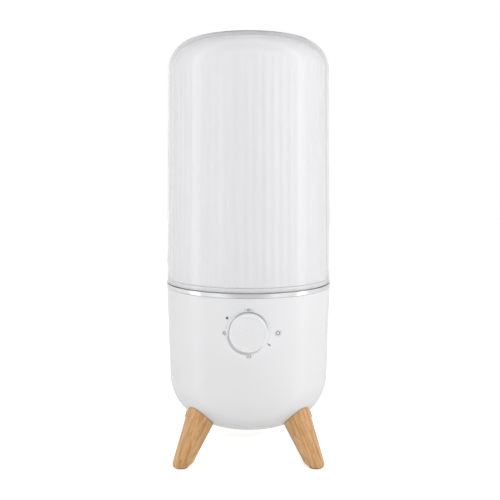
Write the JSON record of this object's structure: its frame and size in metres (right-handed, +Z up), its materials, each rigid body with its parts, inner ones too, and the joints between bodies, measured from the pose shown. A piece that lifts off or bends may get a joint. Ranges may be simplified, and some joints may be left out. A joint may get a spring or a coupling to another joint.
{
  "type": "cool mist humidifier",
  "caption": "Tabletop ultrasonic humidifier: clear domed tank with fluted liner over a bowl-shaped base with dial and splayed wooden legs.",
  "frame": {"origin": "on the floor under the middle of the outline", "axes": "+Z up, front with the dial towards -Y, +X to the right seen from the front"},
  "size_m": [0.1526, 0.1642, 0.3794],
  "materials": {
    "white_plastic": "glossy white moulded plastic",
    "clear_plastic": "clear polished acrylic",
    "liner_plastic": "milky translucent plastic",
    "chrome": "bright plated trim",
    "wood": "light beech with fine grain, satin lacquer",
    "foot_rubber": "soft felt-grey rubber",
    "silicone": "translucent silicone",
    "steel": "zinc-plated steel",
    "aluminium": "cast aluminium",
    "ceramic": "fired ceramic with silvered face",
    "circuit_board": "green solder mask",
    "black_plastic": "black moulded plastic",
    "foam": "closed-cell foam",
    "magnet": "sintered ferrite",
    "lens": "frosted clear plastic",
    "dark_marks": "dark grey print and smoked lens"
  },
  "bodies": {
    "base": {"base_housing": "white_plastic", "water_basin": "white_plastic", "air_tower": "white_plastic", "bottom_cover": "white_plastic", "air_duct": "white_plastic", "float_retainer": "white_plastic", "trim_ring": "chrome", "leg_front_left": "wood", "leg_front_right": "wood", "leg_rear_left": "wood", "leg_rear_right": "wood", "foot_pad_front_left": "foot_rubber", "foot_pad_front_right": "foot_rubber", "foot_pad_rear_left": "foot_rubber", "foot_pad_rear_right": "foot_rubber", "transducer_gasket": "silicone", "leg_screw_front_left": "steel", "leg_screw_front_right": "steel", "leg_screw_rear_left": "steel", "leg_screw_rear_right": "steel", "bottom_screw_1": "steel", "bottom_screw_2": "steel", "bottom_screw_3": "steel", "bottom_screw_4": "steel", "clamp_screw_1": "steel", "clamp_screw_2": "steel", "potentiometer_nut": "steel", "potentiometer_body": "steel", "fan_motor": "steel", "transducer_clamp": "aluminium", "driver_heatsink": "aluminium", "transducer_disc": "ceramic", "driver_board": "circuit_board", "light_board": "circuit_board", "fan_housing": "black_plastic", "power_inlet": "black_plastic", "driver_coil": "black_plastic", "light_window": "lens", "reed_switch": "lens", "indicator_lens": "dark_marks"},
    "tank": {"tank_shell": "clear_plastic", "fluted_liner": "liner_plastic", "tank_floor": "liner_plastic", "mist_chimney": "liner_plastic", "chimney_seal": "silicone"},
    "nozzle_collar": {"nozzle_collar": "white_plastic"},
    "mist_nozzle": {"mist_nozzle": "white_plastic"},
    "fill_cap": {"fill_cap": "white_plastic", "cap_seal": "silicone", "spring_retainer": "white_plastic", "valve_spring": "steel"},
    "valve_plunger": {"valve_plunger": "white_plastic", "valve_washer": "silicone"},
    "knob": {"knob": "white_plastic", "dial_shaft": "steel"},
    "float": {"float": "foam", "float_magnet": "magnet"},
    "fan_rotor": {"fan_rotor": "black_plastic"}
  },
  "joints": [
    {"name": "tank_lift", "type": "slide", "parent": "base", "child": "tank", "axis": [0, 0, 1], "range_m": [0, 0.12]},
    {"name": "nozzle_lift", "type": "slide", "parent": "tank", "child": "nozzle_collar", "axis": [0, 0, 1], "range_m": [0, 0.04]},
    {"name": "nozzle_turn", "type": "hinge", "parent": "nozzle_collar", "child": "mist_nozzle", "pos_m": [0, 0.00577, 0.378], "axis": [0, 0, 1], "continuous": true},
    {"name": "fill_cap_turn", "type": "hinge", "parent": "tank", "child": "fill_cap", "pos_m": [0.03286, 0.00577, 0.15], "axis": [0, 0, 1], "range_deg": [0, 90]},
    {"name": "valve_slide", "type": "slide", "parent": "fill_cap", "child": "valve_plunger", "axis": [0, 0, 1], "range_m": [-0.0041, 0], "deforming": ["valve_spring"]},
    {"name": "dial_turn", "type": "hinge", "parent": "base", "child": "knob", "pos_m": [0, -0.06733, 0.124], "axis": [0, 1, 0], "range_deg": [0, 300]},
    {"name": "float_rise", "type": "slide", "parent": "base", "child": "float", "axis": [0, 0, 1], "range_m": [0, 0.008]},
    {"name": "fan_spin", "type": "hinge", "parent": "base", "child": "fan_rotor", "pos_m": [0, 0.0442, 0.062], "axis": [0, 0, 1], "continuous": true}
  ],
  "couplings": [
    {"joint": "valve_slide", "follows": "tank_lift", "ratio": -0.033333}
  ]
}
